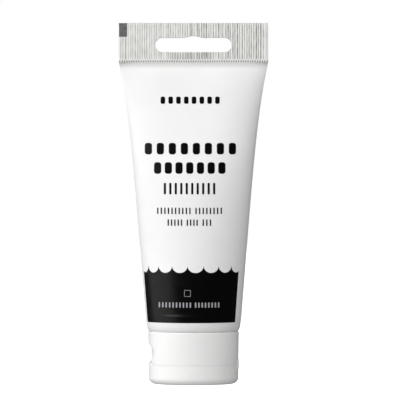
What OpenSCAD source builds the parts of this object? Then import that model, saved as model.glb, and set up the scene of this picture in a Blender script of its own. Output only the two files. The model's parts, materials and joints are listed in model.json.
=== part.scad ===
// Stand-up paint tube: a soft white sleeve, flat and crimped at the top,
// round at the bottom, on a screw-on flip-top cap that it stands on.
// Millimetres, +Z up. X runs across the flat crimp and -Y is the printed front.

/* [Sleeve] */
// Outer radius of the sleeve's round end
tube_r = 20; // [19.6:0.1:20.6]
// Thickness of the sleeve's wall
sleeve_wall = 0.45; // [0.35:0.05:0.6]
// Height of the line where the crimped end starts
crimp_z = 135.2; // [120:0.2:150]
// Height of the bend from the shoulder into the straight sleeve
bend_z = 28.4; // [27:0.2:30]
// How far the sleeve's lower edge turns in
bend_in = 1.3; // [0.8:0.1:1.6]

/* [Crimped end] */
// Height of the crimped end above its line
crimp_h = 16.6; // [14:0.2:20]
// Thickness of the two welded walls
crimp_t = 1.0; // [0.8:0.1:1.4]
// Distance between two serrations
serration = 1.0; // [0.8:0.1:1.6]
// Depth of a serration
serration_d = 0.12; // [0.05:0.01:0.2]

/* [Hang slot] */
// Width of the hang slot
slot_w = 32; // [24:0.5:36]
// Height of the hang slot
slot_h = 5.9; // [4:0.1:7]
// Height of the slot's middle above the crimp line
slot_up = 7.3; // [6:0.1:9]
// Width of the shallow rise in the slot's top edge
slot_rise_w = 9.3; // [7:0.1:12]
// Height of that rise
slot_rise_h = 0.8; // [0.4:0.1:1.2]

/* [Front print] */
// Height of the print's lower edge
print_z = 26.2; // [25:0.1:27]
// Height of the peaks of its scalloped upper edge
print_top = 50; // [44:0.5:60]
// Depth of a scallop
scallop_d = 2.9; // [1:0.1:4]
// Angle from one scallop to the next
scallop_pitch = 17.7; // [14:0.1:20]
// Half of the angle that the print covers
print_half = 67; // [50:0.5:75]
// How far the print's middle is turned from the front
print_turn = -6.5; // [-10:0.5:10]
// Thickness of the print layer
print_t = 0.06; // [0.04:0.01:0.1]

/* [Tube head] */
// Outer radius of the neck at the thread's root
neck_r = 8; // [7.5:0.1:8.2]
// Radius of the passage through the neck
neck_bore_r = 5; // [4:0.1:6]
// Height of the neck's open end
neck_z = 9.8; // [9.7:0.1:10.4]
// Height of the shoulder's underside
shoulder_z = 22.9; // [22.9:0.1:23.4]
// Thickness of the shoulder
shoulder_t = 1.7; // [1.2:0.1:2]

/* [Thread] */
// Travel of the cap for one turn
pitch = 3; // [3:0.1:3.2]
// Height of both threads over their root
thread_h = 1; // [0.8:0.05:1]
// Turns of thread on the neck
neck_turns = 1.6; // [1:0.1:1.7]
// Turns of thread in the cap
cap_turns = 1.25; // [0.8:0.05:1.3]

/* [Cap] */
// Height of the whole cap, lid included
cap_h = 22.1; // [21.6:0.1:22.2]
// Outer radius at the cap's upper edge
cap_r = 19.1; // [18.9:0.05:19.3]
// Outer radius at the seam and of the lid
seam_r = 18.9; // [18.7:0.05:19]
// Height of the top of the lid
seam_z = 8; // [7.8:0.1:8.2]
// Gap between the lid and the cap
seam_gap = 0.4; // [0.3:0.05:0.5]
// Wall of the cap's outer skirt
skirt_wall = 1.9; // [1.8:0.1:2.2]
// Height of the deck's underside
deck_z = 6.8; // [6.7:0.1:7]
// Thickness of the deck
deck_t = 1.4; // [1.2:0.1:1.4]
// Number of ribs between the socket and the skirt
rib_count = 12; // [6:1:16]
// Thickness of a rib
rib_t = 1; // [0.8:0.1:1.4]
// Radius of the hole that the paint comes out of
orifice_r = 2.1; // [2:0.05:2.4]
// Height of the spout's tip
spout_z = 4; // [3.8:0.1:4.4]
// Depth of the thumb recess
recess_d = 1.2; // [0.8:0.1:1.2]
// Height of the recess's lower edge
recess_low = 9.4; // [9.2:0.1:10]
// Height of the recess's upper edge
recess_top = 17; // [15:0.1:18]
// Half of the angle that the recess covers
recess_half = 26; // [18:1:30]

/* [Lid] */
// Thickness of the lid's wall
lid_wall = 1.4; // [1.2:0.1:1.5]
// Thickness of the lid's floor, which is the foot
lid_floor = 1.5; // [1.2:0.1:1.8]
// Radius of the round lower edge
foot_round = 2.7; // [2:0.1:3]
// Radius of the sealing pin at its foot
pin_r = 1.55; // [1.3:0.05:1.6]
// Height of the pin's tip
pin_z = 6.2; // [5.4:0.1:6.4]
// Height of the thumb lip over the lid's rim
lip_h = 1; // [0.6:0.1:1]
// Half of the angle that the thumb lip covers
lip_half = 20; // [12:1:24]

/* [Hinge] */
// Half of the width of the film hinge
hinge_half = 4; // [3:0.1:5]
// Distance of the hinge axis from the tube's axis
hinge_x = 19.2; // [19.1:0.05:19.4]

/* [Hidden] */
$fn = 96;
eps = 0.01;

// The sleeve keeps its girth all the way, so it is pi/2 times wider where it is flat
flat_half = PI * tube_r / 2;
girth = 2 * PI * tube_r;
flatten_z = 26;
// Most of the widening is even, and the rest comes close under the crimp
late_share = 0.25;
late_power = 5.5;
cap_clearance = 0.25;
sleeve_z = cap_h + cap_clearance;
bend_h = bend_z - sleeve_z;
sleeve_points = 64;
bend_rings = 6;
side_rings = 20;
weld_gap = 0.2;
print_lift = 0.08;

seam_top = seam_z + seam_gap;
deck_top = deck_z + deck_t;
skirt_r = seam_r - skirt_wall;
skirt_thinning = 0.4;
rim_gap = 0.35;
rim_r = seam_r - lid_wall - rim_gap;
rim_wall = 1.5;
rim_top = seam_top + 1.4;
mouth_bevel = 1;
thread_gap = 0.4;
socket_r = neck_r + thread_h + thread_gap;
socket_wall = 1.8;
socket_top = 20.2;
thread_root_w = 1.3;
thread_crest_w = 0.6;
thread_bite = 0.35;
thread_z = neck_z + 1.6;
thread_fade = 40;
thread_step = 10;
thread_tip = 0.1;
foil_t = 0.15;
foil_r = neck_r - 0.2;
seal_gap = 0.1;
seal_side_gap = 0.3;
seal_bore_r = 3.5;
spout_wall = 1.1;
spout_bevel = 0.4;
spout_foot = 2.6;
rib_h = 7;
rib_root = 0.2;
collar_gap = 3.4;
collar_wall = 0.9;
collar_h = 2.2;
pin_foot = 0.5;
pin_foot_h = 1.2;
pin_bevel = 0.5;
lip_t = 0.9;
lip_gap = 0.3;
lip_side_gap = 1.5;
lug_h = 2.6;
lug_slope = 0.4;
lug_flat = 1.1;
lug_depth = 1.6;
film_t = 0.35;
film_gap = 0.05;
paint_gap = 0.25;
paint_top = crimp_z - 6;

white_plastic = "white";
seal_grey = [0.86, 0.86, 0.85];
ink_black = [0.03, 0.03, 0.03];
foil_silver = [0.8, 0.8, 0.82];
paint_white = [0.95, 0.95, 0.93];

// Half of the sleeve's width at a height
function half_width(z) =
  let (t = max(0, (z - flatten_z) / (crimp_z - flatten_z)))
  tube_r - turn_in(z)
    + (flat_half - tube_r) * ((1 - late_share) * t + late_share * pow(t, late_power));

// How far the lower edge has turned in at a height, as a quarter of an ellipse
function turn_in(z) =
  let (s = min(1, max(0, (bend_z - z) / bend_h)))
  bend_in * (1 - sqrt(1 - s * s));

// Girth of an ellipse, by Ramanujan's formula
function ellipse_girth(a, b) = PI * (3 * (a + b) - sqrt((3 * a + b) * (a + 3 * b)));

// Half of the depth that gives an ellipse of a known half width the known girth
function depth_for(a, goal, low, high, left) =
  let (mid = (low + high) / 2)
  left == 0 ? mid
    : ellipse_girth(a, mid) > goal ? depth_for(a, goal, low, mid, left - 1)
    : depth_for(a, goal, mid, high, left - 1);

// Half of the sleeve's depth at a height: round below flatten_z, and never less
// than half of the crimp above it
function half_depth(z) =
  z > bend_z ? depth_at(z)
    : half_width(z) - (half_width(bend_z) - depth_at(bend_z))
      * max(0, z - flatten_z) / (bend_z - flatten_z);
function depth_at(z) =
  let (b = depth_for(half_width(z), girth, 0, tube_r, 24))
  sqrt(b * b + crimp_t * crimp_t / 4);

// One ring of points round the sleeve at a height, grown by a distance
function ring(z, grow) = [
  for (i = [0:sleeve_points - 1])
    let (angle = 360 * i / sleeve_points)
    sleeve_point(angle, z, grow)
];
function sleeve_point(angle, z, grow) =
  [(half_width(z) + grow) * cos(angle), (half_depth(z) + grow) * sin(angle), z];

// Heights of the sleeve's rings: close together in the bend and near the crimp
sleeve_heights = concat(
  [for (i = [0:bend_rings - 1]) sleeve_z + (bend_z - sleeve_z) * i / bend_rings],
  [for (i = [0:side_rings]) bend_z + (crimp_z - bend_z) * sin(90 * i / side_rings)]
);

// Joins each ring to the next with triangles; turned makes them face inwards
function wall_faces(rings, count, first, turned) = [
  for (k = [0:rings - 2]) for (i = [0:count - 1])
    let (
      a = first + k * count + i,
      b = first + k * count + (i + 1) % count,
      c = a + count,
      d = b + count
    )
    each turned ? [[a, b, d], [a, d, c]] : [[a, d, b], [a, c, d]]
];

// A closed wall between an outer and an inner stack of rings
module tube_loft(outer, inner) {
  count = len(outer[0]);
  rings = len(outer);
  inner_first = rings * count;
  last = (rings - 1) * count;
  polyhedron(
    points = concat([for (r = outer) each r], [for (r = inner) each r]),
    faces = concat(
      wall_faces(rings, count, 0, false),
      wall_faces(rings, count, inner_first, true),
      [for (i = [0:count - 1]) let (j = (i + 1) % count)
        each [[i, j, inner_first + j], [i, inner_first + j, inner_first + i]]],
      [for (i = [0:count - 1]) let (j = (i + 1) % count)
        each [
          [last + i, inner_first + last + j, last + j],
          [last + i, inner_first + last + i, inner_first + last + j]
        ]]
    ),
    convexity = 4
  );
}

// A closed solid through a stack of rings, flat at both ends
module solid_loft(rings) {
  count = len(rings[0]);
  last = (len(rings) - 1) * count;
  polyhedron(
    points = [for (r = rings) each r],
    faces = concat(
      wall_faces(len(rings), count, 0, false),
      [[for (i = [0:count - 1]) i]],
      [[for (i = [count - 1:-1:0]) last + i]]
    ),
    convexity = 4
  );
}

// A thin closed slab between two equal grids of points
module slab(front, back) {
  cols = len(front[0]);
  rows = len(front);
  half = rows * cols;
  edge = concat(
    [for (i = [0:cols - 2]) i],
    [for (k = [0:rows - 2]) k * cols + cols - 1],
    [for (i = [cols - 1:-1:1]) (rows - 1) * cols + i],
    [for (k = [rows - 1:-1:1]) k * cols]
  );
  polyhedron(
    points = concat([for (r = front) each r], [for (r = back) each r]),
    faces = concat(
      [for (k = [0:rows - 2]) for (i = [0:cols - 2])
        let (a = k * cols + i, b = a + 1, c = a + cols, d = c + 1)
        each [[a, d, b], [a, c, d]]],
      [for (k = [0:rows - 2]) for (i = [0:cols - 2])
        let (a = half + k * cols + i, b = a + 1, c = a + cols, d = c + 1)
        each [[a, b, d], [a, d, c]]],
      [for (i = [0:len(edge) - 1])
        let (p = edge[i], q = edge[(i + 1) % len(edge)])
        each [[p, q, half + q], [p, half + q, half + p]]]
    ),
    convexity = 6
  );
}

// One thread: a ridge that climbs a right-hand helix and fades out at both ends
module thread(from, turns, z, r_in, w_in, r_out, w_out, outward) {
  count = ceil(360 * turns / thread_step);
  sections = [
    for (k = [0:count])
      let (
        angle = from + 360 * turns * k / count,
        left = min(angle - from, from + 360 * turns - angle),
        full = min(1, left / thread_fade),
        sunk = (1 - full) * (r_out - r_in - thread_tip),
        inner = outward ? r_in : r_in + sunk,
        outer = outward ? r_out - sunk : r_out,
        level = z + pitch * (angle - from) / 360
      )
      [
        [inner * cos(angle), inner * sin(angle), level - w_in / 2],
        [inner * cos(angle), inner * sin(angle), level + w_in / 2],
        [outer * cos(angle), outer * sin(angle), level + w_out / 2],
        [outer * cos(angle), outer * sin(angle), level - w_out / 2]
      ]
  ];
  solid_loft(sections);
}

// The sleeve: an elliptical tube that flattens from the round end to the crimp
module sleeve() {
  color(white_plastic)
    tube_loft(
      [for (z = sleeve_heights) ring(z, 0)],
      [for (z = sleeve_heights) ring(z, -sleeve_wall)]
    );
}

module slot_outline() {
  end_r = slot_h / 2;
  rise_r = (pow(slot_rise_w, 2) / 4 + pow(slot_rise_h, 2)) / (2 * slot_rise_h);
  square([slot_w - slot_h, slot_h], center = true);
  for (side = [-1, 1]) translate([side * (slot_w / 2 - end_r), 0]) circle(r = end_r);
  intersection() {
    translate([0, end_r + slot_rise_h - rise_r]) circle(r = rise_r);
    translate([-slot_rise_w / 2, 0]) square([slot_rise_w, slot_h]);
  }
}

// The crimped end: both walls welded flat, with upright serrations and a hang slot
module end_seal() {
  teeth = 4 * floor(flat_half / serration);
  function zig(i) = i % 2 == 0 ? serration_d : -serration_d;
  color(seal_grey) difference() {
    translate([0, 0, crimp_z])
      linear_extrude(crimp_h)
        polygon(concat(
          [for (i = [0:teeth]) [flat_half * (2 * i / teeth - 1), -crimp_t / 2 + zig(i)]],
          [for (i = [teeth:-1:0]) [flat_half * (2 * i / teeth - 1), crimp_t / 2 + zig(i)]]
        ));
    translate([0, 0, crimp_z + slot_up]) rotate([90, 0, 0])
      linear_extrude(4 * crimp_t, center = true) slot_outline();
  }
}

// Upper edge of the front print: circular bites between sharp peaks
function scallop(angle) =
  let (u = angle / scallop_pitch, f = u - floor(u), c = 2 * f - 1)
  print_top - scallop_d * sqrt(max(0, 1 - c * c));

// The dark printed band round the front of the sleeve, as a thin skin
module front_print() {
  columns = 64;
  rows = 10;
  function grid(grow) = [
    for (k = [0:rows]) [
      for (i = [0:columns])
        let (
          angle = print_half * (2 * i / columns - 1),
          z = print_z + (scallop(angle) - print_z) * pow(k / rows, 1.6)
        )
        sleeve_point(angle + print_turn - 90, z, grow)
    ]
  ];
  color(ink_black) slab(grid(print_lift + print_t), grid(print_lift));
}

// The moulded head: shoulder, threaded neck and the passage through them
module tube_head() {
  outer_low = half_width(shoulder_z) - sleeve_wall - weld_gap;
  outer_high = half_width(shoulder_z + shoulder_t) - sleeve_wall - weld_gap;
  color(white_plastic) union() {
    rotate_extrude() polygon([
      [neck_bore_r, neck_z],
      [neck_r, neck_z],
      [neck_r, shoulder_z],
      [outer_low, shoulder_z],
      [outer_high, shoulder_z + shoulder_t],
      [neck_bore_r + mouth_bevel, shoulder_z + shoulder_t],
      [neck_bore_r, shoulder_z + shoulder_t - mouth_bevel]
    ]);
    thread(
      0, neck_turns, thread_z,
      neck_r - thread_bite, thread_root_w, neck_r + thread_h, thread_crest_w, true
    );
  }
}

// The peel-off foil over the end of the neck
module foil_seal() {
  color(foil_silver) translate([0, 0, neck_z - foil_t]) cylinder(r = foil_r, h = foil_t);
}

// The paint, which fills the sleeve up to an air space under the crimp
module paint_fill() {
  low = shoulder_z + shoulder_t + paint_gap;
  levels = 16;
  grow = -sleeve_wall - paint_gap;
  color(paint_white)
    solid_loft([for (k = [0:levels]) ring(low + (paint_top - low) * k / levels, grow)]);
}

// The soft ring in the cap that the neck's end presses on
module seal_ring() {
  low = deck_top + seal_gap;
  high = neck_z - foil_t - seal_gap;
  color("lightgrey") translate([0, 0, low]) difference() {
    cylinder(r = socket_r - seal_side_gap, h = high - low);
    translate([0, 0, -1]) cylinder(r = seal_bore_r, h = high - low + 2);
  }
}

// The backing that stands out from the wall to the hinge axis, with a sloping outer end
module hinge_lug(z, up) {
  translate([0, 0, z]) rotate([90, 0, 0])
    linear_extrude(2 * hinge_half, center = true)
      polygon([
        [hinge_x - lug_depth, 0],
        [hinge_x, 0],
        [hinge_x, up * lug_flat],
        [seam_r - lug_slope, up * lug_h],
        [hinge_x - lug_depth, up * lug_h]
      ]);
}

// Half of the cap's section: skirt, rim, flat deck, socket and spout
module cap_profile() {
  polygon([
    [skirt_r, seam_top],
    [seam_r, seam_top],
    [cap_r, cap_h],
    [cap_r - skirt_wall + skirt_thinning, cap_h],
    [skirt_r, rim_top + 1]
  ]);
  translate([rim_r - rim_wall, deck_z]) square([rim_wall, rim_top - deck_z]);
  translate([orifice_r, deck_z]) square([rim_r - orifice_r, deck_t]);
  translate([socket_r, deck_top - eps]) square([socket_wall, socket_top - deck_top]);
  polygon([
    [orifice_r, spout_z],
    [orifice_r + spout_wall, spout_z],
    [orifice_r + spout_wall + spout_bevel, spout_z + spout_bevel],
    [orifice_r + spout_foot, deck_z + eps],
    [orifice_r, deck_z + eps]
  ]);
}

// A slice of everything on the side away from the hinge, half an angle each way
module thumb_side(half, low, h) {
  far = 2 * cap_r;
  translate([0, 0, low]) linear_extrude(h)
    polygon([[0, 0], [-far, -far * tan(half)], [-far, far * tan(half)]]);
}

// The thumb recess: a round-bottomed scoop in the skirt, and room for the lid's lip
module thumb_recess() {
  rise = recess_top - recess_low;
  scoop_r = (rise * rise / 4 + recess_d * recess_d) / (2 * recess_d);
  intersection() {
    rotate_extrude()
      translate([cap_r - recess_d + scoop_r, (recess_low + recess_top) / 2]) circle(r = scoop_r);
    thumb_side(recess_half, recess_low - 1, rise + 2);
  }
  intersection() {
    difference() {
      translate([0, 0, seam_z]) cylinder(r = cap_r + 1, h = seam_gap + lip_h + lip_gap);
      translate([0, 0, seam_z - 1]) cylinder(r = seam_r - lip_t - lip_gap, h = 2 * rise);
    }
    thumb_side(lip_half + lip_side_gap, seam_z, rise);
  }
}

// The cap: skirt, deck, lid rim, spout, threaded socket, ribs and thumb recess
module cap_base() {
  color(white_plastic) union() {
    difference() {
      rotate_extrude() cap_profile();
      thumb_recess();
    }
    hinge_lug(seam_top, 1);
    for (k = [0:rib_count - 1]) rotate(360 * (k + 0.5) / rib_count)
      translate([socket_r + socket_wall / 2, -rib_t / 2, deck_top - eps])
        cube([skirt_r + rib_root - socket_r - socket_wall / 2, rib_t, rib_h]);
    thread(
      -90, cap_turns, thread_z + pitch / 4,
      neck_r + thread_gap, thread_crest_w, socket_r + thread_bite, thread_root_w, false
    );
  }
}

// The thin film that the lid swings on
module film_hinge() {
  color(white_plastic)
    translate([hinge_x - film_t, -hinge_half, seam_z + film_gap])
      cube([film_t, 2 * hinge_half, seam_gap - film_gap]);
}

module lid_outline() {
  square([seam_r - foot_round, seam_z]);
  translate([0, foot_round]) square([seam_r, seam_z - foot_round]);
  translate([seam_r - foot_round, foot_round]) circle(r = foot_round);
}

// The flip-top lid: a shallow cup with a sealing pin and a collar round the spout
module lid() {
  collar_r = orifice_r + collar_gap;
  color(white_plastic) union() {
    rotate_extrude() {
      difference() {
        lid_outline();
        translate([0, lid_floor]) square([seam_r - lid_wall, seam_z]);
      }
      translate([collar_r, lid_floor - eps]) square([collar_wall, collar_h]);
      polygon([
        [0, lid_floor - eps],
        [pin_r + pin_foot, lid_floor - eps],
        [pin_r, lid_floor + pin_foot_h],
        [pin_r - pin_bevel / 2, pin_z - pin_bevel],
        [pin_r - 1.5 * pin_bevel, pin_z],
        [0, pin_z]
      ]);
    }
    difference() {
      hinge_lug(seam_z, -1);
      translate([0, 0, seam_z - 2 * lug_h]) cylinder(r = seam_r - lid_wall, h = 3 * lug_h);
    }
    intersection() {
      difference() {
        translate([0, 0, seam_z - 1]) cylinder(r = seam_r, h = 1 + lip_h);
        translate([0, 0, seam_z - 2]) cylinder(r = seam_r - lip_t, h = 3 + lip_h);
      }
      thumb_side(lip_half, seam_z - 1, 2 + lip_h);
    }
  }
}

sleeve();
end_seal();
front_print();
tube_head();
foil_seal();
paint_fill();
seal_ring();
cap_base();
film_hinge();
lid();
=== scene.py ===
import json
import math

import bpy
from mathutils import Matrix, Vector


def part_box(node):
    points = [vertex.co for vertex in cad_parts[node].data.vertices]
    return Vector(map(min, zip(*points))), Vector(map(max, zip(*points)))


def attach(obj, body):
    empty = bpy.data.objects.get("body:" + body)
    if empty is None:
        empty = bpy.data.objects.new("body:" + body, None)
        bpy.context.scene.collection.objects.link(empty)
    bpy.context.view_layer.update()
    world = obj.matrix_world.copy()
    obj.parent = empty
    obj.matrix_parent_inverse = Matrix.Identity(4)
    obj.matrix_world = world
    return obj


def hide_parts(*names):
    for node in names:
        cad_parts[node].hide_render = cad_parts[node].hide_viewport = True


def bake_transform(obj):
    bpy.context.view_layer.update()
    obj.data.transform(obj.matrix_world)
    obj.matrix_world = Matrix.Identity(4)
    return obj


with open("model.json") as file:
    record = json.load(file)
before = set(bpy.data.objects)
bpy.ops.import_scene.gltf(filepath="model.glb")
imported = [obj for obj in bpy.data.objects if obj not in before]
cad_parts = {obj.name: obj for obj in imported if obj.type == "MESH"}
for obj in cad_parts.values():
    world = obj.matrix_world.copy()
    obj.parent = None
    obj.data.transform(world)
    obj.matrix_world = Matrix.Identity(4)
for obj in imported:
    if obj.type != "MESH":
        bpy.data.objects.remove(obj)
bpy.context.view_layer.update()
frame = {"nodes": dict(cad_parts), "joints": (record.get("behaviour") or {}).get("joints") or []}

# Lengths below are in millimetres; MM turns them into Blender's metres.
MM = 0.001


def node_box(node):
    """A CAD node's lowest and highest corner, in millimetres."""
    low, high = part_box(node)
    return low / MM, high / MM


# ---------------------------------------------------------------- the CAD's own measures

CRIMP_Z = node_box("end_seal")[0].z
TOP_Z = node_box("end_seal")[1].z
FLAT_HALF = node_box("end_seal")[1].x
SLEEVE_Z = node_box("sleeve")[0].z
TUBE_R = FLAT_HALF * 2 / math.pi
CAP_TOP = node_box("cap_base")[1].z
CAP_R = node_box("cap_base")[1].y
LID_R = node_box("lid")[1].y
HEAD_Z = node_box("tube_head")[0].z
LID_JOINT = next(j for j in frame["joints"] if j["name"] == "lid_open")
HINGE_X = LID_JOINT["pos_m"][0] / MM
SEAM_Z = LID_JOINT["pos_m"][2] / MM
LIP_TOP = node_box("lid")[1].z
HINGE_HALF = node_box("film_hinge")[1].y
PRINT_LOW = node_box("front_print")[0].z
PRINT_HIGH = node_box("front_print")[1].z

# ---------------------------------------------------------------- the sleeve's own measures

CRIMP_T = 1.0
WALL = 0.45

# Ink is this thick. On the sleeve it lies LIFT above the wall, and light marks lie over the band
INK = 0.05
LIFT = 0.02
OVER_BAND = LIFT + INK + 0.005

# The lower end bends in by BEND_IN below BEND_Z; from FLATTEN_Z up the round section goes flat
BEND_Z = 28.4
BEND_H = BEND_Z - SLEEVE_Z
BEND_IN = 1.3
FLATTEN_Z = 26.0

# The share of the widening that comes late, just under the crimp, and how late it comes
FLARE = 0.25
FLARE_POWER = 5.5

# Just above the shoulder the wall sinks in by SHOULDER_D, and comes out again over SINK_H
SHOULDER_Z = BEND_Z + 0.4
SHOULDER_H = 0.95
SHOULDER_TOP = SHOULDER_Z + SHOULDER_H
SHOULDER_D = 0.5
SINK_H = 14.0

# Between these heights the middle of the wall goes slack, to this share of its depth
SLACK = 0.4
SLACK_LOW = 78.0
SLACK_HIGH = 128.0

# How lens-shaped the section gets at the crimp, and the share of the height where that starts
LENS = 0.55
LENS_START = 0.62


# ---------------------------------------------------------------- small helpers

def smooth(low, high, value):
    """0 below low, 1 above high, and a smooth step between them."""
    t = min(1.0, max(0.0, (value - low) / (high - low)))
    return t * t * (3 - 2 * t)


def lerp(a, b, t):
    return a + (b - a) * t


def span(low, high, count):
    """count + 1 evenly spaced values from low to high."""
    return [low + (high - low) * k / count for k in range(count + 1)]


def past_shoulder(low):
    """Heights from low to just above the shoulder's edge, close together where the wall sinks in."""
    return span(low, SHOULDER_Z, 16)[:-1] + span(SHOULDER_Z, SHOULDER_TOP, 12)


def make_piece(name, points, faces, material, body, sharp=35, replaces=()):
    """A shaded mesh piece from points in millimetres, with its material, slot and body, if it has one."""
    mesh = bpy.data.meshes.new(name)
    mesh.from_pydata([Vector(p) * MM for p in points], [], faces)
    mesh.validate()
    for polygon in mesh.polygons:
        polygon.use_smooth = True
    mesh.set_sharp_from_angle(angle=math.radians(sharp))
    mesh.materials.append(material)
    piece = bpy.data.objects.new(name, mesh)
    bpy.context.scene.collection.objects.link(piece)
    if body:
        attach(piece, body)
    if replaces:
        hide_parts(*replaces)
    return piece


class Shape:
    """Points and faces that several closed shells are added to."""

    def __init__(self):
        self.points = []
        self.faces = []

    def grid(self, rows, wrap_u=False, wrap_v=False, flip=False):
        """Quads through equal rows of points. wrap_u closes each row, wrap_v joins last row to first."""
        first, cols = len(self.points), len(rows[0])
        for row in rows:
            self.points.extend(row)
        for k in range(len(rows) if wrap_v else len(rows) - 1):
            for i in range(cols if wrap_u else cols - 1):
                a = first + k * cols + i
                b = first + k * cols + (i + 1) % cols
                c = first + (k + 1) % len(rows) * cols + (i + 1) % cols
                d = first + (k + 1) % len(rows) * cols + i
                self.faces.append((a, d, c, b) if flip else (a, b, c, d))
        return first

    def slab(self, front, back):
        """A closed thin slab between two equal grids; front rows run left to right, bottom to top."""
        cols, rows = len(front[0]), len(front)
        f, b = self.grid(front), self.grid(back, flip=True)
        edge = list(range(cols - 1))
        edge += [k * cols + cols - 1 for k in range(rows - 1)]
        edge += [(rows - 1) * cols + i for i in range(cols - 1, 0, -1)]
        edge += [k * cols for k in range(rows - 1, 0, -1)]
        for p, q in zip(edge, edge[1:] + edge[:1]):
            self.faces.append((f + q, f + p, b + p, b + q))

    def fan(self, centre, ring, flip=False):
        """Triangles from a new centre point to a closed ring of point numbers."""
        hub = len(self.points)
        self.points.append(centre)
        for p, q in zip(ring, ring[1:] + ring[:1]):
            self.faces.append((hub, q, p) if flip else (hub, p, q))


# ---------------------------------------------------------------- the sleeve's surface

def ellipse_girth(a, b):
    return math.pi * (3 * (a + b) - math.sqrt((3 * a + b) * (a + 3 * b)))


def half_width(z):
    """Half of the sleeve's width: a circle's radius at the bend, a quarter of the girth at the crimp."""
    t = max(0.0, (z - FLATTEN_Z) / (CRIMP_Z - FLATTEN_Z))
    s = min(1.0, max(0.0, (BEND_Z - z) / BEND_H))
    wide = TUBE_R + (FLAT_HALF - TUBE_R) * ((1 - FLARE) * t + FLARE * t ** FLARE_POWER)
    return wide - BEND_IN * (1 - math.sqrt(1 - s * s))


def half_depth(z):
    """Half of the sleeve's depth: it keeps the girth from the bend up, and follows the width below it."""
    level = max(z, BEND_Z)
    a, low, high = half_width(level), 0.0, TUBE_R
    for _ in range(30):
        mid = (low + high) / 2
        low, high = (low, mid) if ellipse_girth(a, mid) > 2 * math.pi * TUBE_R else (mid, high)
    depth = math.hypot(low, CRIMP_T / 2)
    if z < BEND_Z:
        missing = half_width(BEND_Z) - depth
        return half_width(z) - missing * max(0.0, z - FLATTEN_Z) / (BEND_Z - FLATTEN_Z)
    return depth


def lens(z):
    """How lens-shaped the section is: 1 is an ellipse, more gives sharper sides near the crimp."""
    return 1 + LENS * smooth(LENS_START, 1.0, (z - FLATTEN_Z) / (CRIMP_Z - FLATTEN_Z))


def dent(x, z):
    """How far the soft wall lies inwards: waves from handling, and the sink above the shoulder."""
    pull_d, wave_d = 0.18, 0.08
    near_crimp = smooth(112, 130, z) * (1 - smooth(130, CRIMP_Z, z))
    pull = pull_d * near_crimp * math.cos(x * 0.21 + 0.6)
    wave = wave_d * math.sin(z * 0.085 + 0.4) * math.cos(x * 0.13 - 0.7)
    wave *= smooth(45, 70, z) * (1 - smooth(118, 132, z))
    sink = SHOULDER_D * smooth(SHOULDER_Z, SHOULDER_TOP, z)
    sink *= 1 - smooth(SHOULDER_TOP, SHOULDER_TOP + SINK_H, z)
    return pull + wave + sink


def skin(angle, z, grow=0.0):
    """A point of the sleeve's surface; angle 0 is +X and 270 degrees is the front."""
    a, b = half_width(z) + grow, half_depth(z) + grow
    c, s = math.cos(math.radians(angle)), math.sin(math.radians(angle))
    slack = SLACK * smooth(SLACK_LOW, SLACK_HIGH, z) * max(0.0, b - CRIMP_T / 2) * s * s
    y = b * abs(s) ** lens(z) - (dent(a * c, z) + slack) * s * s
    return Vector((a * c, math.copysign(y, s), z))


def front_skin(x, z, lift=0.0):
    """A point of the printed front, lifted off along the surface's normal."""
    def at(px, pz):
        a = half_width(pz)
        angle = 360 - math.degrees(math.acos(max(-1.0, min(1.0, px / a))))
        return skin(angle, pz)
    step = 0.05
    point = at(x, z)
    across = at(x + step, z) - at(x - step, z)
    up = at(x, z + step) - at(x, z - step)
    return point + across.cross(up).normalized() * lift


# ---------------------------------------------------------------- materials

def new_material(name):
    material = bpy.data.materials.new(name)
    material.use_nodes = True
    tree = material.node_tree
    return material, tree.nodes, tree.links, tree.nodes["Principled BSDF"]


def noise(nodes, links, coords, scale, detail=3.0, rough=0.5):
    n = nodes.new("ShaderNodeTexNoise")
    n.inputs["Scale"].default_value = scale
    n.inputs["Detail"].default_value = detail
    n.inputs["Roughness"].default_value = rough
    links.new(coords.outputs["Object"], n.inputs["Vector"])
    return n


def remap(nodes, links, source, low, high):
    m = nodes.new("ShaderNodeMapRange")
    m.inputs["From Min"].default_value = 0.3
    m.inputs["From Max"].default_value = 0.7
    m.inputs["To Min"].default_value = low
    m.inputs["To Max"].default_value = high
    links.new(source, m.inputs["Value"])
    return m.outputs["Result"]


def tint(nodes, links, source, first, second):
    m = nodes.new("ShaderNodeMix")
    m.data_type = "RGBA"
    m.inputs["A"].default_value = (*first, 1)
    m.inputs["B"].default_value = (*second, 1)
    links.new(source, m.inputs["Factor"])
    return m.outputs["Result"]


# How deep red, green and blue light goes into a soft white plastic
SOFT_DEPTH = (1.2 * MM, 0.92 * 1.2 * MM, 0.84 * 1.2 * MM)
GRAIN_H = 0.2 * MM


def moulded(name, light, dark, rough, grain=1400, bump=0.05, mottle=90, soft=0.0):
    """A plastic: faintly mottled colour, uneven gloss and a fine grain in the surface."""
    material, nodes, links, shader = new_material(name)
    coords = nodes.new("ShaderNodeTexCoord")
    patches = noise(nodes, links, coords, mottle)
    fine = noise(nodes, links, coords, grain, detail=2.0)
    factor = remap(nodes, links, patches.outputs["Fac"], 0.0, 1.0)
    links.new(tint(nodes, links, factor, light, dark), shader.inputs["Base Color"])
    gloss = noise(nodes, links, coords, mottle * 3)
    links.new(remap(nodes, links, gloss.outputs["Fac"], rough - 0.05, rough + 0.05),
              shader.inputs["Roughness"])
    relief = nodes.new("ShaderNodeBump")
    relief.inputs["Strength"].default_value = bump
    relief.inputs["Distance"].default_value = GRAIN_H
    links.new(fine.outputs["Fac"], relief.inputs["Height"])
    links.new(relief.outputs["Normal"], shader.inputs["Normal"])
    shader.inputs["IOR"].default_value = 1.47
    if soft:
        shader.inputs["Subsurface Weight"].default_value = soft
        shader.inputs["Subsurface Radius"].default_value = SOFT_DEPTH
        shader.inputs["Subsurface Scale"].default_value = 1.0
    return material


# Height of the band of painted shade under the seal.
SEAL_SHADE_H = 3.2


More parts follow.
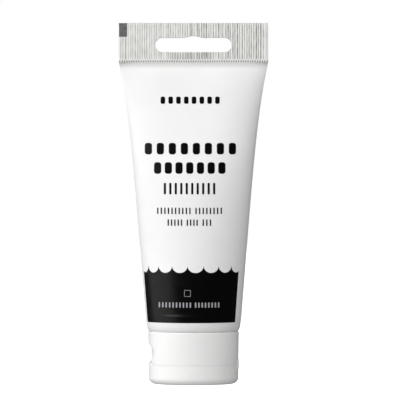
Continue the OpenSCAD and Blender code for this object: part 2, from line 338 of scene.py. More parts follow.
def painted_seal_shade(material):
    """Painted shade: greys the sleeve's wall a little just under the seal, where it bends in towards the
    crimp.
    """
    nodes, links = material.node_tree.nodes, material.node_tree.links
    shader = nodes["Principled BSDF"]
    plain = shader.inputs["Base Color"].links[0].from_socket
    coords = next(n for n in nodes if n.type == "TEX_COORD")
    place = nodes.new("ShaderNodeSeparateXYZ")
    links.new(coords.outputs["Object"], place.inputs["Vector"])
    near = nodes.new("ShaderNodeMapRange")
    near.interpolation_type = "SMOOTHSTEP"
    near.inputs["From Min"].default_value = (CRIMP_Z - SEAL_SHADE_H) * MM
    near.inputs["From Max"].default_value = CRIMP_Z * MM
    near.inputs["To Max"].default_value = 0.95
    links.new(place.outputs["Z"], near.inputs["Value"])
    mix = nodes.new("ShaderNodeMix")
    mix.data_type = "RGBA"
    # This grey is painted shade.
    mix.inputs["B"].default_value = (0.56, 0.56, 0.55, 1)
    links.new(near.outputs["Result"], mix.inputs["Factor"])
    links.new(plain, mix.inputs["A"])
    links.new(mix.outputs["Result"], shader.inputs["Base Color"])


def crimped(name):
    """The welded end: milky plastic, with painted shade in its pressed grooves, pits and stamped strokes,
    and a painted shadow line along its cut edges.
    """
    material, nodes, links, shader = new_material(name)
    coords = nodes.new("ShaderNodeTexCoord")
    # The depth attribute drives painted shade: the pressed grooves, pits and stamped strokes are darkened
    # where shadow would fall, and so are the cut edges.
    depth = nodes.new("ShaderNodeAttribute")
    depth.attribute_name = "depth"
    patches = noise(nodes, links, coords, 220)
    mixed = nodes.new("ShaderNodeMath")
    mixed.operation = "MULTIPLY_ADD"
    mixed.use_clamp = True
    mixed.inputs[1].default_value = 1.15
    links.new(depth.outputs["Fac"], mixed.inputs[0])
    links.new(remap(nodes, links, patches.outputs["Fac"], -0.05, 0.11), mixed.inputs[2])
    # The dark grey is painted shade, not a colour of the plastic.
    links.new(tint(nodes, links, mixed.outputs["Value"], (0.86, 0.865, 0.835), (0.27, 0.272, 0.26)),
              shader.inputs["Base Color"])
    links.new(remap(nodes, links, patches.outputs["Fac"], 0.3, 0.45), shader.inputs["Roughness"])
    shader.inputs["Subsurface Weight"].default_value = 0.1
    shader.inputs["Subsurface Radius"].default_value = (0.6 * MM, 0.6 * MM, 0.6 * MM)
    shader.inputs["Subsurface Scale"].default_value = 1.0
    return material


def foil(name):
    """Peel foil: bright metal with fine rolling lines."""
    material, nodes, links, shader = new_material(name)
    coords = nodes.new("ShaderNodeTexCoord")
    stretch = nodes.new("ShaderNodeMapping")
    stretch.inputs["Scale"].default_value = (1.0, 12.0, 1.0)
    links.new(coords.outputs["Object"], stretch.inputs["Vector"])
    lines = nodes.new("ShaderNodeTexNoise")
    lines.inputs["Scale"].default_value = 300
    links.new(stretch.outputs["Vector"], lines.inputs["Vector"])
    links.new(tint(nodes, links, lines.outputs["Fac"], (0.7, 0.7, 0.72), (0.85, 0.85, 0.87)),
              shader.inputs["Base Color"])
    links.new(remap(nodes, links, lines.outputs["Fac"], 0.25, 0.4), shader.inputs["Roughness"])
    shader.inputs["Metallic"].default_value = 1.0
    return material


TUBE_WHITE = moulded("tube_white", (0.90, 0.90, 0.893), (0.875, 0.875, 0.867), 0.40, soft=0.12)
painted_seal_shade(TUBE_WHITE)
CAP_WHITE = moulded("cap_white", (0.925, 0.925, 0.915), (0.90, 0.90, 0.892), 0.34, grain=900,
                    bump=0.04, soft=0.15)
HEAD_WHITE = moulded("head_white", (0.84, 0.84, 0.83), (0.80, 0.80, 0.79), 0.38)
INK_BLACK = moulded("ink_black", (0.0008, 0.0008, 0.0009), (0.0016, 0.0016, 0.0018), 0.34,
                    bump=0.03)
INK_GREY = moulded("ink_grey", (0.19, 0.195, 0.195), (0.07, 0.075, 0.075), 0.45, mottle=420)
INK_LIGHT = moulded("ink_light", (0.38, 0.39, 0.41), (0.30, 0.31, 0.33), 0.45)
SEAL_SOFT = moulded("seal_soft", (0.72, 0.74, 0.76), (0.62, 0.64, 0.66), 0.7, grain=2600, bump=0.4)
PAINT = moulded("paint", (0.93, 0.93, 0.91), (0.90, 0.90, 0.88), 0.25, grain=300, bump=0.1)
CRIMP = crimped("crimp_grey")
FOIL = foil("foil")


# ---------------------------------------------------------------- sleeve

def sleeve():
    """The soft wall: a closed shell that is round at the shoulder and flat at the crimp."""
    around = 256
    shape = Shape()
    foot, lip_h, lip_in = CAP_TOP + 0.06, 0.12, 0.22
    lip = [(foot + lip_h * (1 - math.cos(math.radians(t))), lip_in * (math.sin(math.radians(t)) - 1))
           for t in (0, 30, 60, 90)]
    heights = past_shoulder(lip[-1][0] + 0.2) + span(SHOULDER_TOP + SHOULDER_H, 122, 64)
    heights += span(122.6, CRIMP_Z, 40)
    outer = [(z, grow) for z, grow in lip] + [(z, 0.0) for z in heights]
    inner = [(foot, -WALL)] + [(z, -WALL) for z in span(foot + 0.6, CRIMP_Z, 36)]

    def ring(z, grow):
        return [skin(360 * i / around, z, grow) for i in range(around)]
    first = shape.grid([ring(z, g) for z, g in outer], wrap_u=True)
    second = shape.grid([ring(z, g) for z, g in inner], wrap_u=True, flip=True)
    last_outer = first + (len(outer) - 1) * around
    last_inner = second + (len(inner) - 1) * around
    for i in range(around):
        j = (i + 1) % around
        shape.faces.append((first + j, first + i, second + i, second + j))
        shape.faces.append((last_outer + i, last_outer + j, last_inner + j, last_inner + i))
    make_piece("sleeve_skin", shape.points, shape.faces, TUBE_WHITE, "tube",
               sharp=60, replaces=["sleeve"])


def paint():
    """The paint that fills the sleeve, following its inner wall."""
    low, high = node_box("paint_fill")
    around, gap = 96, 0.3
    shape = Shape()
    levels = span(low.z, high.z, 60)
    rows = [[skin(360 * i / around, z, -WALL - gap) for i in range(around)] for z in levels]
    first = shape.grid(rows, wrap_u=True)
    last = first + (len(levels) - 1) * around
    shape.fan((0, 0, low.z), [first + i for i in range(around)], flip=True)
    shape.fan((0, 0, high.z), [last + i for i in range(around)])
    make_piece("paint_body", shape.points, shape.faces, PAINT, "tube",
               replaces=["paint_fill"])


# ---------------------------------------------------------------- crimped end

# Pitch of the pressed lines, and how deep the deepest goes
SERRATION = 1.0
RELIEF = 0.22
# The front lies this far proud of the plain plate, and the ridge at its foot a little more
PROUD = 0.06
RIDGE_H = 0.10
RIDGE_Z = CRIMP_Z + 0.05
RIDGE_W = 0.25
# Depths of the pits and the stamped strokes are shares of RELIEF
PIT_D = 1.35
PIT_Z = CRIMP_Z + 0.4
PIT_W = 0.36
STAMP_D = 0.72
STAMP_PITCH = 1.15
STAMP_LEFT = -9.1
STAMP_RIGHT = 8.1
STAMP_LOW = CRIMP_Z + 1.2
STAMP_HIGH = CRIMP_Z + 4.0
SLOT_W = 32.0
SLOT_H = 5.9
SLOT_Z = CRIMP_Z + 7.3
RISE_W = 9.3
RISE_H = 0.8


def slot_edges(x):
    """Lowest and highest point of the hang slot at a place across it, or None outside it."""
    end = SLOT_H / 2
    reach = abs(x) - (SLOT_W / 2 - end)
    if reach >= end:
        return None
    half = end if reach <= 0 else math.sqrt(end * end - reach * reach)
    rise = RISE_H * (0.5 + 0.5 * math.cos(math.pi * min(1.0, abs(x) / (RISE_W / 2))))
    return SLOT_Z - half, SLOT_Z + half + rise


def hashed(n):
    """A fixed value between 0 and 1 for each whole number."""
    return math.sin(n * 12.9898) * 43758.5453 % 1.0


def pressed(x, z):
    """The upright lines that the jaws pressed: 0 between them, and stronger towards the right."""
    deepest = 0.0
    nearest = math.floor(x / SERRATION)
    for n in range(nearest - 1, nearest + 2):
        middle = (n + 0.5 + 0.35 * (hashed(n) - 0.5)) * SERRATION
        wide = (0.18 + 0.09 * hashed(n + 40)) * SERRATION
        strength = (0.5 + 0.5 * hashed(n + 91)) * lerp(0.8, 1.15, smooth(-20, 24, x))
        strength *= 0.85 + 0.15 * math.sin(1.1 * z + 9 * hashed(n + 17))
        deepest = max(deepest, strength * math.exp(-((x - middle) / wide) ** 2))
    return deepest * (1 - 0.6 * smooth(FLAT_HALF - 2.2, FLAT_HALF - 1.2, x))


def pits(x, z):
    """The row of small pits where the pressed lines end, just above the sleeve; their dark colour is
    painted shade.
    """
    along = 0.5 + 0.5 * math.cos(2 * math.pi * x / SERRATION)
    return PIT_D * along * math.exp(-((z - PIT_Z) / PIT_W) ** 2)


def stamped(x, z):
    """The row of equal stamped strokes under the hang slot."""
    inside = smooth(-0.3, 0.3, x - STAMP_LEFT) * (1 - smooth(-0.3, 0.3, x - STAMP_RIGHT))
    inside *= smooth(-0.2, 0.2, z - STAMP_LOW) * (1 - smooth(-0.2, 0.2, z - STAMP_HIGH))
    return STAMP_D * inside * (0.5 + 0.5 * math.sin(2 * math.pi * x / STAMP_PITCH)) ** 2


def crimp_depth(x, z):
    """How deep the front of the welded end is pressed at a place, from 0 to 1."""
    lines = pressed(x, z) * smooth(0.9, 1.8, z - CRIMP_Z)
    return min(1.0, max(lines, pits(x, z), stamped(x, z)))


def painted_edge_shadow(x, z):
    """A thin painted shadow line along the crimp's cut top and the slot's upper edge."""
    # Painted shadow: the plate's thickness shading the edge.
    edges = slot_edges(x)
    rise = z - edges[1] if edges and z >= SLOT_Z else TOP_Z - z
    return 0.55 * smooth(0.35, 0.0, min(rise, TOP_Z - z))


def crimp_relief(x, z):
    """How far both faces of the welded end move back at a place, in millimetres."""
    ridge = RIDGE_H * math.exp(-((z - RIDGE_Z) / RIDGE_W) ** 2)
    return RELIEF * crimp_depth(x, z) - ridge - PROUD


def crimp_front(x, z):
    return -CRIMP_T / 2 + crimp_relief(x, z)


def crimp_columns():
    """The plate's columns: place, heights under and over the slot, and if it is solid there."""
    end, r, turn, steps = SLOT_W / 2 - SLOT_H / 2, SLOT_H / 2, 28, 26
    across = span(-FLAT_HALF, -SLOT_W / 2, 150)[:-1]
    across += [-end - r * math.cos(math.pi / 2 * k / turn) for k in range(turn)]
    across += span(-end, end, 250)
    across += [end + r * math.sin(math.pi / 2 * k / turn) for k in range(1, turn + 1)]
    across += span(SLOT_W / 2, FLAT_HALF, 150)[1:]
    columns = []
    for x in across:
        edges = slot_edges(x)
        low, high = edges if edges else (SLOT_Z, SLOT_Z)
        lower = [lerp(CRIMP_Z, low, (k / steps) ** 1.25) for k in range(steps + 1)]
        columns.append((x, lower, span(high, TOP_Z, steps), edges is None))
    return columns


def crimp():
    """The welded end with its serrations and hang slot, as a closed plate."""
    columns = crimp_columns()
    shape = Shape()
    numbers = {}

    def point(x, z, side):
        key = (round(x, 4), round(z, 4), side)
        if key not in numbers:
            numbers[key] = len(shape.points)
            thin = 0.18 * smooth(0.5, 0.0, FLAT_HALF - abs(x)) + 0.15 * smooth(0.4, 0.0, TOP_Z - z)
            y = crimp_relief(x, z) + side * (CRIMP_T / 2 - thin)
            shape.points.append((x, y, z))
        return numbers[key]

    def quad(corners, side):
        ids = [point(x, z, side) for x, z in corners]
        ids = [n for k, n in enumerate(ids) if n not in ids[:k]]
        if len(ids) > 2:
            shape.faces.append(ids if side < 0 else ids[::-1])

    def wall(corners):
        (x0, z0), (x1, z1) = corners
        shape.faces.append([point(x0, z0, -1), point(x0, z0, 1), point(x1, z1, 1), point(x1, z1, -1)])

    for (xa, lower_a, upper_a, solid_a), (xb, lower_b, upper_b, solid_b) in zip(columns, columns[1:]):
        for za, zb in ((lower_a, lower_b), (upper_a, upper_b)):
            for k in range(len(za) - 1):
                corners = ((xa, za[k]), (xb, zb[k]), (xb, zb[k + 1]), (xa, za[k + 1]))
                quad(corners, -1)
                quad(corners, 1)
        wall(((xb, lower_b[0]), (xa, lower_a[0])))
        wall(((xa, upper_a[-1]), (xb, upper_b[-1])))
        if not (solid_a and solid_b):
            wall(((xa, lower_a[-1]), (xb, lower_b[-1])))
            wall(((xb, upper_b[0]), (xa, upper_a[0])))
    for (x, lower, upper, _), on_left in ((columns[0], True), (columns[-1], False)):
        column = lower + upper[1:]
        for za, zb in zip(column, column[1:]):
            wall(((x, za), (x, zb)) if on_left else ((x, zb), (x, za)))
    piece = make_piece("crimped_end", shape.points, shape.faces, CRIMP, "tube",
                       sharp=50, replaces=["end_seal"])
    # Painted shade for the crimp's colour: how deep each place is pressed, and the painted shadow line
    # along the cut edges.
    depth = piece.data.attributes.new("depth", "FLOAT", "POINT")
    for value, (x, _, z) in zip(depth.data, shape.points):
        value.value = max(crimp_depth(x, z), painted_edge_shadow(x, z))


def register_mark():
    """The dark register mark printed in the crimp's upper left corner."""
    wide, high, margin = 3.4, 5.7, 0.1
    left, top = -FLAT_HALF + margin, TOP_Z - margin
    shape = Shape()
    xs, zs = span(left, left + wide, 34), span(top - high, top, 20)

    def face(lift):
        return [[(x, crimp_front(x, z) - lift, z) for x in xs] for z in zs]
    shape.slab(face(INK + 0.01), face(0.01))
    make_piece("register_mark", shape.points, shape.faces, INK_GREY, "tube")


# ---------------------------------------------------------------- print on the sleeve

SCALLOP_PITCH = 17.7
SCALLOP_D = 2.9
PRINT_HALF = 67.0
PRINT_TURN = -6.5


def band():
    """The dark band round the lower front, with its scalloped upper edge."""
    per, rows = 20, 24
    edge = [SCALLOP_PITCH * (n + 0.5 - 0.5 * math.cos(math.pi * k / per))
            for n in range(-4, 4) for k in range(per)]
    angles = [-PRINT_HALF] + [a for a in edge if abs(a) < PRINT_HALF - 0.3] + [PRINT_HALF]

    def top(angle):
        u = angle / SCALLOP_PITCH
        c = 2 * (u - math.floor(u)) - 1
        return PRINT_HIGH - SCALLOP_D * math.sqrt(max(0.0, 1 - c * c))

    straight = past_shoulder(PRINT_LOW)

    def face(lift):
        levels = [[z] * len(angles) for z in straight[:-1]]
        levels += [[lerp(straight[-1], top(a), k / rows) for a in angles] for k in range(rows + 1)]
        return [[skin(270 + PRINT_TURN + a, z, lift) for a, z in zip(angles, level)]
                for level in levels]
    shape = Shape()
    shape.slab(face(LIFT + INK), face(LIFT))
    make_piece("scalloped_band", shape.points, shape.faces, INK_BLACK, "tube",
               sharp=60, replaces=["front_print"])


def bar(shape, left, right, z, height, lift, curve):
    """One printed bar added to a shape; curve 1 gives it half-round ends and 0 square ones."""
    r = height / 2 * curve
    ends = [math.cos(math.pi / 2 * k / 8) for k in range(9)]
    xs = [left + r - r * c for c in ends] + span(left + r, right - r, max(2, int(right - left)))[1:-1]
    xs += [right - r + r * c for c in reversed(ends)]

    def half(x):
        inside = max(0.0, r - (x - left), r - (right - x))
        return height / 2 - r + math.sqrt(max(0.0, r * r - inside * inside))

    def face(rise):
        return [[front_skin(x, z + t * max(half(x), 0.001), rise) for x in xs]
                for t in (-1, -0.5, 0, 0.5, 1)]
    shape.slab(face(lift + INK), face(lift))


def blocks(shape, left, right, z, height, width, gap, lift):
    """A row of equal rounded blocks, which stands for a line of print; the gaps are evened out."""
    count = max(2, round((right - left + gap) / (width + gap)))
    pitch = (right - left - width) / (count - 1)
    for k in range(count):
        start = left + k * pitch
        bar(shape, start, start + width, z, height, lift, curve=min(0.45, 0.9 * width / height))


# Plain blocks where lines of print are: middle height, block height, width and gap, and where
# each stretch of the row runs from and to
FRONT_LINES = [
    (119.3, 3.0, 1.9, 1.2, [(-13.8, 11.0)]),
    (99.0, 4.8, 3.0, 1.8, [(-20.4, 17.8)]),
    (90.9, 4.8, 3.0, 1.8, [(-16.5, 13.4)]),
    (82.3, 4.8, 0.9, 1.4, [(-12.4, 9.1)]),
    (73.0, 2.7, 0.55, 0.9, [(-15.2, -1.2), (0.8, 11.9)]),
    (68.1, 2.7, 0.55, 0.9, [(-10.8, -4.7), (-2.8, 1.8), (3.8, 7.4)]),
]


def print_rows():
    """Rows of plain black blocks in place of the print on the front."""
    shape = Shape()
    for z, height, width, gap, runs in FRONT_LINES:
        for left, right in runs:
            blocks(shape, left, right, z, height, width, gap, LIFT)
    make_piece("print_rows", shape.points, shape.faces, INK_BLACK, "tube", sharp=50)


def band_marks():
    """Light marks on the dark band: a small open square over two runs of blocks."""
    shape = Shape()
    row_z, height, width, gap = 33.7, 2.2, 0.6, 0.8
    for left, right in ((-14.5, -1.0), (0.6, 10.8)):
        blocks(shape, left, right, row_z, height, width, gap, OVER_BAND)
    side, line, x, z = 2.7, 0.16, -2.5, 38.6
    h = side / 2
    for level in (z + h - line / 2, z - h + line / 2):
        bar(shape, x - h, x + h, level, line, OVER_BAND, curve=0.3)
    for place in (x - h, x + h - line):
        bar(shape, place, place + line, z, side - 2 * line, OVER_BAND, curve=0.02)
    make_piece("band_marks", shape.points, shape.faces, INK_LIGHT, "tube", sharp=50)


# ---------------------------------------------------------------- turned shapes

def rounded(corners, closed=True):
    """A profile through corners (radius, height, rounding), with an arc at each rounded one.

    The rounding is how far along each side the arc starts, which is its radius at a right angle.
    """
    steps = 8
    out = []
    count = len(corners)
    for k, (r, z, fillet) in enumerate(corners):
        here = Vector((r, z))
        if fillet == 0 or (not closed and k in (0, count - 1)):
            out.append(here)
            continue
        before = Vector(corners[k - 1][:2]) - here
        after = Vector(corners[(k + 1) % count][:2]) - here
        cut = min(fillet, before.length * 0.49, after.length * 0.49)
        start, end = before.normalized() * cut, after.normalized() * cut
        middle = start + end
        if middle.length < 0.01 * cut:
            out.append(here)
            continue
        centre = middle * (cut * cut / middle.dot(start))
        radius = (start - centre).length
        for n in range(steps + 1):
            out.append(here + centre + radius * (start - centre).slerp(end - centre, n / steps))
    return out


def refined(profile, longest, closed=True):
    """The profile with extra points, so that no stretch is longer than a length."""
    out = []
    ends = profile[1:] + (profile[:1] if closed else [])
    for a, b in zip(profile, ends):
        parts = max(1, math.ceil((b - a).length / longest))
        out += [a.lerp(b, k / parts) for k in range(parts)]
    return out if closed else out + [profile[-1]]


def turned(shape, profile, segments, place, closed=True):
    """Turns a profile round the Z axis; place(angle, r, z) gives each point.

    An open profile starts and ends on the axis.
    """
    body = profile if closed else profile[1:-1]
    rows = [[place(360 * i / segments, p.x, p.y) for i in range(segments)] for p in body]
    first = shape.grid(rows, wrap_u=True, wrap_v=closed)
    if not closed:
        last = first + (len(rows) - 1) * segments
        shape.fan((0, 0, profile[0].y), [first + i for i in range(segments)], flip=True)
        shape.fan((0, 0, profile[-1].y), [last + i for i in range(segments)])


def polar(angle, r, z):
    a = math.radians(angle)
    return Vector((r * math.cos(a), r * math.sin(a), z))


def from_thumb(angle):
    """Degrees from the thumb side, which is -X."""
    return abs((angle % 360) - 180)


def from_hinge(angle):
    """Degrees from the hinge side, which is +X."""
    return min(angle % 360, 360 - angle % 360)


# The outermost SWELL_IN of the wall swells out beside the film, and less further from the seam
SWELL_IN = 0.7
SWELL_SIDE = 0.35
SWELL_NEAR = 1.0
SWELL_FAR = 2.7


def hinge_swell(point, up):
    """Swells the wall out to the hinge axis beside the film, up (1) or down (-1) from the seam."""
    rise = (point.z - SEAM_Z) * up
    if point.x < 0 or math.hypot(point.x, point.y) < LID_R - SWELL_IN:
        return point
    across = 1 - smooth(HINGE_HALF - SWELL_SIDE, HINGE_HALF + SWELL_SIDE, abs(point.y))
    away = 1 - smooth(SWELL_NEAR, SWELL_FAR, rise)
    reach = HINGE_X - 0.02
    if across * away > 0 and reach > point.x:
        point.x = lerp(point.x, reach, across * away)
    return point


# The strap panels: depth, degrees off the hinge from and to, and reach from the seam
STRAP_D = 0.1
STRAP_NEAR = 15.0
STRAP_FAR = 44.0
STRAP_H = 2.4


def strap_panel(angle, rise):
    """Depth of the shallow panel beside the hinge where the two side straps lie."""
    turn = from_hinge(angle)
    wide = smooth(STRAP_NEAR, STRAP_NEAR + 1.5, turn) * (1 - smooth(STRAP_FAR - 1.2, STRAP_FAR, turn))
    return STRAP_D * wide * (1 - smooth(STRAP_H - 0.4, STRAP_H, abs(rise)))


# ---------------------------------------------------------------- cap

SEAM_GAP = 0.02
SKIRT_WALL = 1.9
DECK_Z = 6.8
DECK_TOP = 8.2
RIM_R = 17.15
RIM_WALL = 1.5
RIM_TOP = 9.8
SPOUT_Z = 4.0
ORIFICE_R = 2.1
SOCKET_R = 9.4
SOCKET_WALL = 1.8
SOCKET_TOP = 20.2
THREAD_Z = HEAD_Z + 2.35
THREAD_PITCH = 3.0
THREAD_TURNS = 1.25
RIBS = 12
RECESS_LOW = 9.2
RECESS_TOP = 17.0
RECESS_D = 1.25
RECESS_HALF = 30.0
# The lid's thumb lip, its half width in degrees, and the room behind it in the cap's notch
LIP_T = 0.9
LIP_HALF = 20.0
LIP_GAP = 0.28


def cap_point(angle, r, z):
    """One point of the cap, with the thumb recess, the lip's notch and the hinge worked in."""
    if r > LID_R - LIP_T:
        middle, half = (RECESS_LOW + RECESS_TOP) / 2, (RECESS_TOP - RECESS_LOW) / 2
        turn = from_thumb(angle)
        inside = 1 - (turn / RECESS_HALF) ** 2 - ((z - middle) / half) ** 2
        r -= RECESS_D * smooth(0.0, 0.55, inside)
        notch = (1 - smooth(LIP_HALF + 0.6, LIP_HALF + 1.8, turn)) * (1 - smooth(0.35, 0.6, z - LIP_TOP))
        r = lerp(r, min(r, LID_R - LIP_T - LIP_GAP), notch)
        r -= strap_panel(angle, z - SEAM_Z)
    return hinge_swell(polar(angle, r, z), 1)


def thread(shape):
    """The socket's thread: a closed helical ridge that fades out at both ends."""
    crest_r, crest_w, root_r, root_w = SOCKET_R - 1, 0.6, SOCKET_R + 0.35, 1.3
    start, fade, steps = -90, 40.0, int(THREAD_TURNS * 64)
    rows = []
    for k in range(steps + 1):
        turned_by = 360 * THREAD_TURNS * k / steps
        full = smooth(0, 1, min(turned_by, 360 * THREAD_TURNS - turned_by) / fade)
        crest = crest_r + (1 - full) * (root_r - crest_r - 0.05)
        level = THREAD_Z + THREAD_PITCH * turned_by / 360
        rows.append([polar(start + turned_by, r, level + w)
                     for r, w in ((crest, -crest_w / 2), (crest, crest_w / 2),
                                  (root_r, root_w / 2), (root_r, -root_w / 2))])
    first = shape.grid(rows, wrap_u=True, flip=True)
    last = first + steps * 4
    shape.faces.append((first, first + 1, first + 2, first + 3))
    shape.faces.append((last + 3, last + 2, last + 1, last))


def rib(shape, angle):
    """One radial rib between the cap's socket and its skirt, with a rounded top."""
    half, low, high = 0.5, DECK_TOP - 0.2, DECK_TOP + 6.8
    inner, outer = SOCKET_R + SOCKET_WALL - 0.4, LID_R - SKIRT_WALL + 0.35
    section = [(-half, low), (half, low), (half, high - half)]
    section += [(half * math.cos(math.radians(t)), high - half + half * math.sin(math.radians(t)))
                for t in (30, 60, 90, 120, 150)]
    section += [(-half, high - half)]
    c, s = math.cos(math.radians(angle)), math.sin(math.radians(angle))
    rows = [[Vector((r * c - t * s, r * s + t * c, z)) for t, z in section] for r in (inner, outer)]
    first = shape.grid(rows, wrap_u=True)
    n = len(section)
    shape.faces.append(tuple(first + k for k in reversed(range(n))))
    shape.faces.append(tuple(first + n + k for k in range(n)))


def cap():
    """Skirt, deck, spout and threaded socket, turned as one closed profile, with ribs between."""
    low = SEAM_Z + SEAM_GAP / 2
    corners = [
        (LID_R, low, 0.06),
        (CAP_R, CAP_TOP, 0.45),
        (CAP_R - SKIRT_WALL + 0.4, CAP_TOP, 0.3),
        (LID_R - SKIRT_WALL, RIM_TOP + 1, 0.5),
        (LID_R - SKIRT_WALL, RIM_TOP, 0.3),
        (RIM_R - RIM_WALL, RIM_TOP, 0.4),
        (RIM_R - RIM_WALL, DECK_TOP, 0.5),
        (SOCKET_R + SOCKET_WALL, DECK_TOP, 0.5),
        (SOCKET_R + SOCKET_WALL, SOCKET_TOP, 0.3),
        (SOCKET_R, SOCKET_TOP, 0.3),
        (SOCKET_R, DECK_TOP, 0.2),
        (ORIFICE_R, DECK_TOP, 0.4),
        (ORIFICE_R, SPOUT_Z, 0.25),
        (ORIFICE_R + 1.1, SPOUT_Z, 0.4),
        (ORIFICE_R + 2.6, DECK_Z, 0.6),
        (RIM_R, DECK_Z, 0.4),
        (RIM_R, low, 0.2),
    ]
    shape = Shape()
    profile = refined(rounded(corners), 0.5)
    turned(shape, profile, 288, cap_point)
    for k in range(RIBS):
        rib(shape, 360 / RIBS * (k + 0.5))
    thread(shape)
    make_piece("cap_shell", shape.points, shape.faces, CAP_WHITE, "cap",
               replaces=["cap_base"])


# ---------------------------------------------------------------- lid

LID_WALL = 1.4
LID_FLOOR = 1.5
FOOT_ROUND = 2.7
PIN_Z = 6.2
PIN_R = 1.55


def lid_point(angle, r, z):
    """One point of the lid, with the thumb lip, the side straps and the hinge worked in."""
    rim = SEAM_Z - SEAM_GAP / 2
    if r > LID_R - LIP_T - 0.01 and z > rim - 0.3:
        lift = 1 - smooth(LIP_HALF - 1.6, LIP_HALF, from_thumb(angle))
        z += (LIP_TOP - rim) * lift * smooth(rim - 0.3, rim, z)
    if r > LID_R - 0.3 and z > FOOT_ROUND:
        r -= strap_panel(angle, z - SEAM_Z)
    return hinge_swell(polar(angle, r, z), -1)


def lid():
    """The flip-top lid with its sealing pin and the collar that fits round the spout."""
    rim = SEAM_Z - SEAM_GAP / 2
    collar = ORIFICE_R + 3.4
    corners = [
        (0, 0, 0),
        (LID_R, 0, FOOT_ROUND),
        (LID_R, rim, 0.06),
        (LID_R - LIP_T, rim, 0.1),
        (LID_R - LIP_T - 0.02, rim - 0.02, 0),
        (LID_R - LID_WALL, rim - 0.02, 0.2),
        (LID_R - LID_WALL, LID_FLOOR, 1.2),
        (collar + 0.9, LID_FLOOR, 0.3),
        (collar + 0.9, LID_FLOOR + 2.2, 0.25),
        (collar, LID_FLOOR + 2.2, 0.25),
        (collar, LID_FLOOR, 0.3),
        (PIN_R + 0.5, LID_FLOOR, 0.4),
        (PIN_R, LID_FLOOR + 1.2, 0.3),
        (PIN_R - 0.3, PIN_Z - 0.6, 0.4),
        (PIN_R - 0.8, PIN_Z, 0.3),
        (0, PIN_Z, 0),
    ]
    shape = Shape()
    profile = refined(rounded(corners, closed=False), 0.5, closed=False)
    turned(shape, profile, 288, lid_point, closed=False)
    make_piece("lid_shell", shape.points, shape.faces, CAP_WHITE, "lid",
               replaces=["lid"])


# ---------------------------------------------------------------- film hinge

def film():
    """The thin web that joins cap and lid."""
    thick, reach, outer = 0.22, 0.5, HINGE_X - 0.05
    shape = Shape()
    ys, zs = span(-HINGE_HALF + 0.3, HINGE_HALF - 0.3, 24), span(SEAM_Z - reach, SEAM_Z + reach, 12)

    def face(x):
        return [[Vector((x, y, z)) for y in ys] for z in zs]
    shape.slab(face(outer), face(outer - thick))
    piece = make_piece("hinge_film", shape.points, shape.faces, CAP_WHITE, None,
                       replaces=["film_hinge"])
    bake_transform(piece)


def finish_cad_nodes():
    """Materials for the inner pieces whose CAD shape is shown as it is."""
    inner = {"tube_head": HEAD_WHITE, "foil_seal": FOIL, "seal_ring": SEAL_SOFT}
    for name, material in inner.items():
        node = frame["nodes"][name]
        for place in node.material_slots:
            place.link = "OBJECT"
            place.material = material


# ---------------------------------------------------------------- studio, in metres

LAMP_AWAY = 1.25
FILL = 0.41
GLOSSY_SHARE = 0.08
FLOOR_HALF = 4.0
FLOOR_Z = -0.045


def surround(world):
    """The light that comes from all sides: white as seen, dimmer as light, and dimmer still in gloss."""
    world.use_nodes = True
    nodes, links = world.node_tree.nodes, world.node_tree.links
    seen = nodes["Background"]
    seen.inputs["Strength"].default_value = 1.0
    path = nodes.new("ShaderNodeLightPath")
    below = seen
    for ray, strength in (("Is Diffuse Ray", FILL), ("Is Glossy Ray", FILL * GLOSSY_SHARE)):
        light = nodes.new("ShaderNodeBackground")
        light.inputs["Strength"].default_value = strength
        pick = nodes.new("ShaderNodeMixShader")
        links.new(path.outputs[ray], pick.inputs[0])
        links.new(below.outputs[0], pick.inputs[1])
        links.new(light.outputs["Background"], pick.inputs[2])
        below = pick
    for node in nodes:
        if node.type == "BACKGROUND":
            node.inputs["Color"].default_value = (1, 1, 1, 1)
    links.new(below.outputs[0], nodes["World Output"].inputs["Surface"])


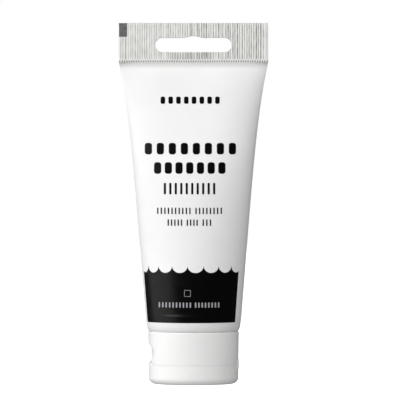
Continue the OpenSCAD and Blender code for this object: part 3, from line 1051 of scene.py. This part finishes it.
def studio():
    """White surround, a pale floor below the reach of the open lid, and soft lamps from the left."""
    scene = bpy.context.scene
    scene.view_settings.view_transform = "Standard"
    scene.world = bpy.data.worlds.new("studio")
    surround(scene.world)

    mesh = bpy.data.meshes.new("floor")
    corners = [(x * FLOOR_HALF, y * FLOOR_HALF, FLOOR_Z) for x, y in ((-1, -1), (1, -1), (1, 1), (-1, 1))]
    mesh.from_pydata(corners, [], [(0, 1, 2, 3)])
    floor = bpy.data.objects.new("floor", mesh)
    scene.collection.objects.link(floor)
    pale, _, _, shader = new_material("floor_pale")
    shader.inputs["Base Color"].default_value = (0.9, 0.9, 0.9, 1)
    shader.inputs["Emission Color"].default_value = (1, 1, 1, 1)
    shader.inputs["Emission Strength"].default_value = 1.0
    mesh.materials.append(pale)
    for ray in ("visible_diffuse", "visible_glossy", "visible_transmission", "visible_shadow"):
        setattr(floor, ray, False)

    def lamp(name, turn, lift, size, power, in_gloss):
        """A soft box aimed at the tube: degrees left of the front, degrees up, metres and watts."""
        a, e = math.radians(turn), math.radians(lift)
        aim = Vector((0, 0, 0.075))
        out = Vector((-math.sin(a) * math.cos(e), -math.cos(a) * math.cos(e), math.sin(e)))
        place = aim + LAMP_AWAY * out
        data = bpy.data.lights.new(name, "AREA")
        data.shape = "RECTANGLE"
        data.size, data.size_y = size
        data.energy = power
        light = bpy.data.objects.new(name, data)
        light.location = place
        light.rotation_euler = (aim - place).to_track_quat("-Z", "Y").to_euler()
        light.visible_glossy = in_gloss
        scene.collection.objects.link(light)
    lamp("front_soft", 12, 25, (1.2, 1.2), 7.4, False)
    lamp("side_key", 77, 4, (1.6, 1.5), 5.2, True)
    lamp("upper_left", 66, 46, (1.1, 0.5), 3.6, True)
    lamp("left_rim", 112, 5, (1.0, 1.4), 3.5, False)
    lamp("top", 20, 74, (1.0, 1.0), 4.5, False)


def camera():
    """A long lens almost level with the tube, a little above it."""
    view_w, away, lift = 168.4, 2300.0, 1.0
    look = Vector((2.74, 0, 77.3)) * MM
    back = Vector((0, -math.cos(math.radians(lift)), math.sin(math.radians(lift))))
    data = bpy.data.cameras.new("camera")
    data.sensor_width = 36
    data.lens = data.sensor_width * away / view_w
    data.clip_end = 20
    cam = bpy.data.objects.new("camera", data)
    cam.location = look + back * away * MM
    cam.rotation_euler = (-back).to_track_quat("-Z", "Y").to_euler()
    bpy.context.scene.collection.objects.link(cam)
    bpy.context.scene.camera = cam


camera()
studio()
sleeve()
paint()
crimp()
register_mark()
band()
print_rows()
band_marks()
cap()
lid()
film()
finish_cad_nodes()
